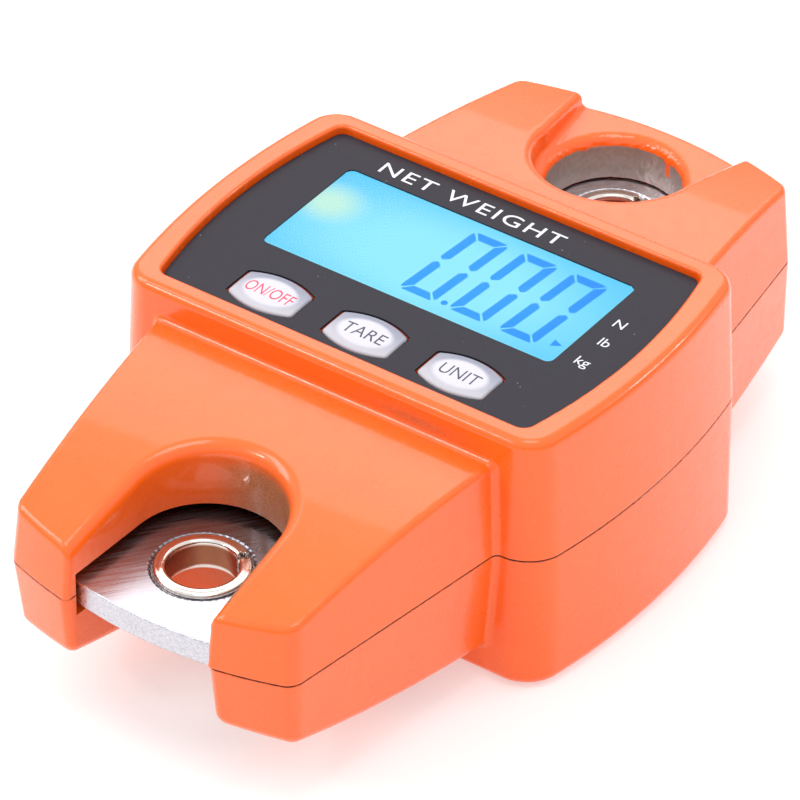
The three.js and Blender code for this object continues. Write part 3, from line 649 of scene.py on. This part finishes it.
def back(x, y, z):
    d = skin(x, y, z, -1)
    h = hollow(x, y, z, -1)
    for px, py in HS:
        h = np.maximum(h, -cyld(x, y, z, px, py, 3.9, -14.2, 2))
    d = np.maximum(d, -h)
    d = np.maximum(d, -channel(x, y, z))
    d = cut(d, boxd(x, y, z, -24.9, 24.9, -16.3, 16.2, -24, -16.9, 0.0), 0.35)
    for px, py in HS:
        d = cut(d, cyld(x, y, z, px, py, 2.9, -30, -8.6), 0.3)
        d = np.maximum(d, -cyld(x, y, z, px, py, 1.75, -12, 1))
    lip = 0.06 + 0.015 * (1 + wave(x, y, 0 * z, 2.7))
    return rmax(d, lip + z, 0.13)


def shell_masks(up):
    def f(x, y, z):
        az = z * up
        # brown, more metallic tone on the slot's round wall, stronger toward the parting plane and toward +x; under the
        # near rim the same tone is a painted dark reflection
        sl = slotd(x, y, az)
        on_wall = (np.abs(sl) < 0.9) & (y < -36) & (y > -60)
        brown_and_dark_reflection = np.where(on_wall, 0.92 / (1 + np.exp(-(x + 4.0) / 2.2)) * np.clip((12.6 - az) / 3.4, 0, 1), 0.0)
        on_rim = (np.abs(y + 24.0) < 1.7) & (az > 13.4) & (az < 17.6)
        brown_and_dark_reflection = np.maximum(brown_and_dark_reflection, np.where(on_rim, 0.62 * np.exp(-((x - 14.0) / 9.0) ** 2) * np.clip(1.0 - np.abs(az - 15.2) / 2.2, 0, 1), 0.0))
        # the shackle hole is not painted below its rim, apart from a few runs
        rr = np.hypot(x, y - 42.6)
        th = np.arctan2(y - 42.6, x)
        run = 0.75 * np.exp(-((th - 1.25) / 0.09) ** 2) + 0.5 * np.exp(-((th - 0.55) / 0.06) ** 2) + 0.4 * np.exp(-((th - 2.6) / 0.08) ** 2)
        bare = np.where(rr < 9.75, np.clip((7.5 - az) / 0.5, 0, 1) * (1 - run * np.clip((az - 3.5) / 1.5, 0, 1)), 0.0)
        seam = np.clip(1.0 - (az - 0.08) / 0.16, 0, 1)
        return {"brown_and_dark_reflection": brown_and_dark_reflection, "bare": bare, "seam": seam}
    return f


H = 0.42
XS = span(-37.8, 37.8, H)
YS = span(-66.6, 58.0, H)
solid("front_shell_cast", front, XS, YS, joined(span(-0.4, 0.6, 0.125), span(0.6, 16.2, H), span(16.2, 18.8, 0.26)),
      ORANGE, "housing", ["front_shell"], shell_masks(1))
solid("back_shell_cast", back, XS, YS, joined(span(-21.4, -0.6, H), span(-0.6, 0.4, 0.125)),
      ORANGE, "housing", ["back_shell"], shell_masks(-1))

# ------------------------------------------------------------ load cell, eyes
EYES = [("hook_eye_bush", -49.7, 0.95), ("shackle_eye_bush", 42.6, 1.45)]


def cell(x, y, z):
    d = rmax(cell_outline(x, y), np.abs(z) - 1.8, 0.22)
    for _, ey, _a in EYES:
        r = np.hypot(x, y - ey)
        th = np.arctan2(y - ey, x)
        tooth = 0.10 * (2.0 * np.abs(((th * 46 / (2 * math.pi)) % 1.0) - 0.5) - 0.5)
        d = np.maximum(d, 6.1 - r)
        cone = (r - (6.56 + tooth) - (np.abs(z) - 1.45) * 1.15) / 1.5
        d = np.maximum(d, -np.maximum(cone, 1.45 - np.abs(z)))
    for px, py in CS:
        d = np.maximum(d, 2.2 - np.hypot(x - px, y - py))
    d = np.maximum(d, -boxd(x, y, z, -14, 7.2, 7.4, 9.0, -5, 5))
    d = np.maximum(d, 1.3 - np.hypot(x - 7.2, y - 8.2))
    d = np.maximum(d, -boxd(x, y, z, -7.2, 14, -9.0, -7.4, -5, 5))
    d = np.maximum(d, 1.3 - np.hypot(x + 7.2, y + 8.2))
    d = np.maximum(d, -boxd(x, y, z, -5.6, 5.6, -2.6, 2.6, -5, 5))
    for px in (-5.6, 5.6):
        d = np.maximum(d, 2.6 - np.hypot(x - px, y))
    return d


HC = 0.27
solid("load_cell_plate", cell, span(-15.2, 15.2, HC), span(-62.9, 53.1, HC), span(-2.1, 2.1, 0.21), ALU, "housing", ["load_cell"])


def bush_field(ey, gap):
    def f(x, y, z):
        u, v = x, y - ey
        r = np.hypot(u, v)
        az = np.abs(z)
        sleeve = rmax(np.abs(r - 5.2) - 0.5, az - 2.15, 0.25)
        lip = np.hypot(np.maximum(np.abs(r - 5.62) - 0.42, 0), np.maximum(np.abs(az - 1.86) - 0.03, 0)) - 0.34
        d = rmin(sleeve, lip, 0.3)
        a = gap
        along = u * math.cos(a) + v * math.sin(a)
        side = -u * math.sin(a) + v * math.cos(a)
        rag = 0.16 * np.sin(r * 6.1 + az * 2.0) + 0.10 * np.sin(r * 13.7 + 1.0)
        slit = np.maximum(np.abs(side + rag) - 0.36 - 0.22 * np.clip(az - 1.3, 0, 1), 0.2 - along)
        return rmax(d, -slit, 0.08)
    return f


for name, ey, gap in EYES:
    h = 0.13
    # the mask marks the inner bore wall for the painted brown reflection of the shaded slot
    solid(name + "_rolled", bush_field(ey, gap), span(-6.9, 6.9, h), span(ey - 6.9, ey + 6.9, h), span(-2.5, 2.5, 0.125), CHROME, "housing", [name],
          lambda x, y, z, e=ey: {"bore_dark_reflection": np.clip((4.88 - np.hypot(x, y - e)) / 0.12, 0, 1) * np.clip((1.75 - np.abs(z)) / 0.3, 0, 1)})


# ---------------------------------------------------------------- front panel
def window_rect(x, y, off=0.0, r=1.05):
    return rmax(np.abs(x - (WX0 + WX1) / 2) - ((WX1 - WX0) / 2 - off), np.abs(y - (WY0 + WY1) / 2) - ((WY1 - WY0) / 2 - off), r)


def film(x, y, z):
    d = rmax(panel(x, y, 0.25), np.abs(z - 17.05) - 0.15, 0.05)
    d = np.maximum(d, -window_rect(x, y))
    for _, kx in KEYS:
        d = np.maximum(d, -barrel(x, y, kx, -0.12))
    return d


def pane(x, y, z):
    return np.maximum(window_rect(x, y, 0.15, 0.95), np.abs(z - 17.05) - 0.14)


FZ = np.array([16.7, 16.82, 16.94, 17.05, 17.16, 17.28, 17.4])
solid("panel_film", film, span(-32.2, 32.2, 0.3), span(-21.2, 21.2, 0.3), FZ, OVERLAY, "housing", ["panel_overlay"])
solid("display_window", pane, span(-23.6, 23.5, 0.35), span(-6.7, 14.8, 0.35), FZ, clear("window_clear"), "housing", ["lcd_window"])


def key_top(x, y, cx):
    return 17.47 - 0.17 * ((x - cx) / 5.0) ** 2 - 0.17 * ((y - KY) / 3.7) ** 2


def key_field(cx):
    def f(x, y, z):
        cap = rmax(barrel(x, y, cx, 0.2), z - key_top(x, y, cx), 0.3)
        cap = np.maximum(cap, 15.25 - z)
        return rmin(cap, cyld(x, y, z, cx, KY, 2.0, 13.3, 15.6), 0.15)
    return f


for kind, kx in KEYS:
    solid("key_cap_" + kind, key_field(kx), span(kx - 5.8, kx + 5.8, 0.17), span(KY - 4.5, KY + 4.5, 0.17),
          joined(span(12.9, 16.6, 0.35), span(16.6, 17.8, 0.12)), key_paint("key_silver_" + kind, kx), kind + "_button", ["key_" + kind])


# ------------------------------------------------------------ prints, display
def flat_mesh(name, polys, z0, z1, material, body="housing"):
    """closed thin plates, one per polygon, in one mesh"""
    vs, fs = [], []
    for p in polys:
        area = sum(p[i][0] * p[(i + 1) % len(p)][1] - p[(i + 1) % len(p)][0] * p[i][1] for i in range(len(p)))
        if area < 0:
            p = p[::-1]
        k, n = len(vs), len(p)
        vs += [row(a, b, z0) for a, b in p] + [row(a, b, z1) for a, b in p]
        fs.append([k + i for i in range(n)][::-1])
        fs.append([k + n + i for i in range(n)])
        for i in range(n):
            j = (i + 1) % n
            fs.append([k + i, k + j, k + n + j, k + n + i])
    me = bpy.data.meshes.new(name)
    me.from_pydata(vs, [], fs)
    me.update()
    o = bpy.data.objects.new(name, me)
    scene.collection.objects.link(o)
    me.materials.append(material)
    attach(o, body)
    return o


def seven(dx):
    x0, x1, y0, y1, t, g = -2.14, 3.45, -3.49, 12.25, 1.35, 0.18
    e = 0.62
    segs = [
        [(x0 + g + .3, y1 - .05), (x0 + g + .75, y1), (x1 - g - .75, y1), (x1 - g - .3, y1 - .05), (x1 - t - g, y1 - t), (x0 + t + g, y1 - t)],
        [(x0 + g + .3, y0 + .05), (x0 + g + .75, y0), (x1 - g - .75, y0), (x1 - g - .3, y0 + .05), (x1 - t - g, y0 + t), (x0 + t + g, y0 + t)],
    ]
    for xo, xi, m in ((x0, x0 + t, (x0 + t * 0.4)), (x1, x1 - t, (x1 - t * 0.4))):
        segs.append([(xo, y1 - g - .55), (xo + (xi - xo) * .16, y1 - g - .2), (xi, y1 - t - g), (xi, 4.78 + e), (m, 4.78), (xo, 4.78 + e * 0.7)])
        segs.append([(xo, y0 + g + .55), (xo + (xi - xo) * .16, y0 + g + .2), (xi, y0 + t + g), (xi, 4.05 - e), (m, 4.05), (xo, 4.05 - e * 0.7)])
    return [[(x + dx + 0.075 * (y - 4.4), y) for x, y in s] for s in segs]


polys = seven(0) + seven(7.82) + seven(15.64)
polys.append([(4.15 + 0.47 * math.cos(a), -2.85 + 0.47 * math.sin(a)) for a in [i * math.pi / 12 for i in range(24)]])
polys.append([(20.31, -1.07), (20.37, -2.47), (21.71, -1.67)])
flat_mesh("display_segments", polys, 16.77, 16.83, lit("lcd_segment", (lin(38, 160, 252), lin(28, 142, 250)), False), "housing")


def text(name, body_text, cx, cy, z, height, length, material, body="housing", thin=0.0, slant=0.0, surf=None, gap=1.0):
    cu = bpy.data.curves.new(name + "_c", "FONT")
    cu.body = body_text
    cu.size = 1.0
    cu.offset = thin
    cu.space_character = gap
    cu.resolution_u = 5
    cu.extrude = 0.01
    tmp = bpy.data.objects.new(name + "_t", cu)
    scene.collection.objects.link(tmp)
    bpy.context.view_layer.update()
    me = bpy.data.meshes.new_from_object(tmp.evaluated_get(bpy.context.evaluated_depsgraph_get()))
    bpy.data.objects.remove(tmp)
    co = np.zeros(len(me.vertices) * 3, np.float32)
    me.vertices.foreach_get("co", co)
    co = co.reshape(-1, 3).astype(float)
    lo, hi = co.min(0), co.max(0)
    caps = 0.72
    sy = height / caps
    sx = length / (hi[0] - lo[0]) if length else sy
    x = (co[:, 0] - (lo[0] + hi[0]) / 2) * sx
    y = (co[:, 1] - caps / 2) * sy
    x = x + slant * y
    top = co[:, 2] > 0
    px, py = cx + x, cy + y
    base = surf(px, py) if surf is not None else z
    pz = base + np.where(top, 0.018, -0.03)
    out = np.stack([px, py + Y0, pz + Z0], 1) / 1000.0
    me.vertices.foreach_set("co", out.astype(np.float32).ravel())
    me.name = name
    me.update()
    o = bpy.data.objects.new(name, me)
    scene.collection.objects.link(o)
    me.materials.clear()
    me.materials.append(material)
    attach(o, body)
    return o


WHITE = ink("ink_white", (226, 226, 232))
RED = ink("ink_red", (226, 62, 84))
GREY = ink("ink_grey", (62, 64, 76))
text("print_title", "NET WEIGHT", -5.1, 16.75, 17.2, 2.45, 29.0, WHITE, gap=1.15)
for nm, s, tx, ty, hgt in (("n", "N", 25.5, 6.1, 1.75), ("lb", "lb", 26.1, 1.75, 1.75), ("kg", "kg", 26.1, -3.2, 1.75)):
    text("print_unit_" + nm, s, tx, ty, 17.2, hgt, None, WHITE)
for (kind, kx), s, colour, ln in zip(KEYS, ("ON/OFF", "TARE", "UNIT"), (RED, GREY, GREY), (7.3, 6.3, 5.8)):
    text("print_" + kind, s, kx, KY, 0, 2.25, ln, colour, kind + "_button", -0.006, 0, lambda a, b, c=kx: key_top(a, b, c))


# ------------------------------------------------------- screws, battery door
def screw_field(cx, cy, zh, ze, rh, hh, rs):
    def f(x, y, z):
        r = np.hypot(x - cx, y - cy)
        dome = zh + 0.055 * r * r
        head = rmax(r - rh, np.maximum(dome - z, z - (zh + hh)), 0.3)
        thread = 0.10 * np.sin(2 * math.pi * (z / 0.9) + np.arctan2(y - cy, x - cx))
        tip = np.clip((z - (ze - 1.6)) * 0.45, 0, 1)
        shank = np.maximum(r - (rs - 0.1 + thread - tip), np.maximum(zh + 0.5 - z, z - ze))
        d = np.minimum(head, shank)
        w = rh * 0.13 + 0.05 * (zh + 0.9 - z)
        u, v = np.abs(x - cx), np.abs(y - cy)
        cross = np.minimum(np.maximum(u - rh * 0.58, v - w), np.maximum(u - w, v - rh * 0.58))
        return np.maximum(d, -np.maximum(cross, z - (zh + hh * 0.6)))
    return f


for i, (px, py) in enumerate(HS):
    solid(f"housing_screw_{i + 1}_pan", screw_field(px, py, -10.7, 8.0, 2.5, 1.9, 1.2), span(px - 2.9, px + 2.9, 0.16), span(py - 2.9, py + 2.9, 0.16),
          span(-11.1, 8.4, 0.16), STEEL, "housing", [f"housing_screw_{i + 1}"])


def door(x, y, z):
    zb = -20.5
    d = boxd(x, y, z, -24.6, 24.6, -16.0, 15.9, zb, zb + 2.1, 0.0)
    d = rmax(rmax(rmax(np.abs(x) - 24.6, np.abs(y + 0.05) - 15.95, 0.8), zb - z, 0.3), z - (zb + 2.1), 0.15)
    for k in range(6):
        gy = 6.2 + 1.25 * k
        hw = 9.5 - 0.55 * k
        groove = np.maximum(np.hypot(y - gy, z - (zb - 0.12)) - 0.5, np.abs(x) - hw)
        d = cut(d, groove, 0.1)
    # arrow for the way it opens
    tri = np.maximum(np.abs(x) * 0.8 + (y - 4.4) * 0.6 - 0.0, -(y - 1.2))
    d = np.maximum(d, -np.maximum(tri, z - (zb + 0.35)))
    for px in (-13, 13):
        d = np.minimum(d, boxd(x, y, z, px - 2.6, px + 2.6, -16.0, -15.1, zb + 1.9, zb + 3.6))
        d = np.minimum(d, boxd(x, y, z, px - 2.6, px + 2.6, -17.2, -15.1, zb + 2.85, zb + 3.6))
    d = np.minimum(d, boxd(x, y, z, -6, 6, 14.5, 15.4, zb + 1.9, zb + 3.5))
    r = np.hypot(x, y - 15.3)
    return cut(d, np.maximum(r - 4.6 + (z - zb), z - (zb + 0.6)), 0.1)


solid("battery_door_moulded", door, span(-25.1, 25.1, 0.3), span(-17.7, 16.4, 0.3), joined(span(-20.9, -16.5, 0.2)), BLACK, "battery_door", ["battery_cover"])

# ------------------------------------------------- finishes on carried-over CAD
FINISH = {}


def finish(names, material):
    for n in names:
        FINISH[n] = material


finish(["lcd_glass"], lit("lcd_lit", (lin(144, 234, 255), lin(94, 206, 252))))
finish(["lcd_backlight"], plain("light_guide", (236, 246, 250), 0.3, 0, 0.04, 0.8))
finish(["lcd_holder"], plain("holder_white", (228, 228, 224), 0.5, 0, 0.06))
finish(["lcd_connector"], plain("elastomer", (104, 106, 114), 0.65, 0, 0.2, 0.3))
finish(["main_pcb"], board("board_green"))
finish(["controller_chip", "adc_chip"], plain("chip_black", (34, 35, 38), 0.5, 0, 0.12, 0.2, 0.006))
finish([f"tact_switch_{i}" for i in (1, 2, 3)], plain("switch_case", (64, 65, 70), 0.45, 0.25, 0.12))
finish([f"switch_plunger_{i}" for i in (1, 2, 3)], plain("switch_plunger", (42, 42, 45), 0.5, 0, 0.1))
finish([f"strain_gauge_{i}" for i in (1, 2, 3, 4)], plain("gauge_foil", (198, 148, 62), 0.42, 0.3, 0.25, 0.3))
finish([f"load_cell_screw_{i}" for i in (1, 2)] + [f"pcb_screw_{i}" for i in (1, 2, 3, 4)], STEEL)
finish(["battery_tray"], BLACK)
for i in (1, 2, 3):
    finish([f"battery_{i}"], can_label(f"cell_can_{i}", i))
finish([f"battery_spring_{i}" for i in (1, 2, 3)] + ["contact_left_pair", "contact_left_single", "contact_right_single", "contact_right_pair"],
       plain("contact_nickel", (204, 202, 194), 0.24, 1.0, 0.12, 0.5, 0.002, 3.0))
finish(["sensor_cable"], plain("ribbon_grey", (178, 178, 182), 0.5, 0, 0.15, 0.4))
finish(["battery_lead_red"], plain("wire_red", (178, 40, 32), 0.45, 0, 0.15, 0.4))
finish(["battery_lead_black"], plain("wire_black", (30, 30, 33), 0.45, 0, 0.15, 0.4))
for n, m in FINISH.items():
    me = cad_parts[n].data
    me.materials.clear()
    me.materials.append(m)

# ------------------------------------------------------------- floor and light
fm = Mat("floor_pale", (0.62, 0.62, 0.62, 1), 0.8)
fm.set("Emission Color", (1, 1, 1, 1))
fm.set("Emission Strength", 0.42)
fm.set("Specular IOR Level", 0.15)
me = bpy.data.meshes.new("floor")
S = 3.0
me.from_pydata([(-S, -S, 0), (S, -S, 0), (S, S, 0), (-S, S, 0)], [], [(0, 1, 2, 3)])
floor = bpy.data.objects.new("floor", me)
me.materials.append(fm.m)
scene.collection.objects.link(floor)
floor.location.z = -0.0004

world = bpy.data.worlds.new("studio")
scene.world = world
world.use_nodes = True
wt = world.node_tree
bg = wt.nodes["Background"]
tc = wt.nodes.new("ShaderNodeTexCoord")
sp = wt.nodes.new("ShaderNodeSeparateXYZ")
wt.links.new(tc.outputs["Generated"], sp.inputs[0])
ra = wt.nodes.new("ShaderNodeMapRange")
ra.interpolation_type = "SMOOTHSTEP"
wt.links.new(sp.outputs["Z"], ra.inputs["Value"])
ra.inputs["From Min"].default_value = 0.10
ra.inputs["From Max"].default_value = 0.50
ra.inputs["To Min"].default_value = 0.42
ra.inputs["To Max"].default_value = 1.12
wt.links.new(ra.outputs["Result"], bg.inputs["Strength"])
bg.inputs["Color"].default_value = (1, 1, 1, 1)


def area(name, at, to, sx, sy, power):
    l = bpy.data.lights.new(name, "AREA")
    l.shape = "RECTANGLE"
    l.size, l.size_y = sx, sy
    l.energy = power
    o = bpy.data.objects.new(name, l)
    o.location = at
    o.rotation_euler = (Vector(to) - Vector(at)).to_track_quat("-Z", "Y").to_euler()
    scene.collection.objects.link(o)


area("back_box", (-0.75, 1.05, 1.05), (0, 0, 0.02), 1.3, 0.8, 4.5)
area("left_box", (-0.9, -0.35, 0.75), (0, 0, 0.02), 0.35, 0.9, 4.0)
area("front_strip", (-0.55, -0.73, 0.78), (0, 0, 0.02), 0.26, 0.08, 1.6)
area("right_strip", (0.70, 0.78, 0.53), (0, 0, 0.02), 0.26, 0.08, 1.2)
area("top_box", (0.1, -0.1, 1.3), (0, 0, 0), 0.5, 0.5, 3.0)
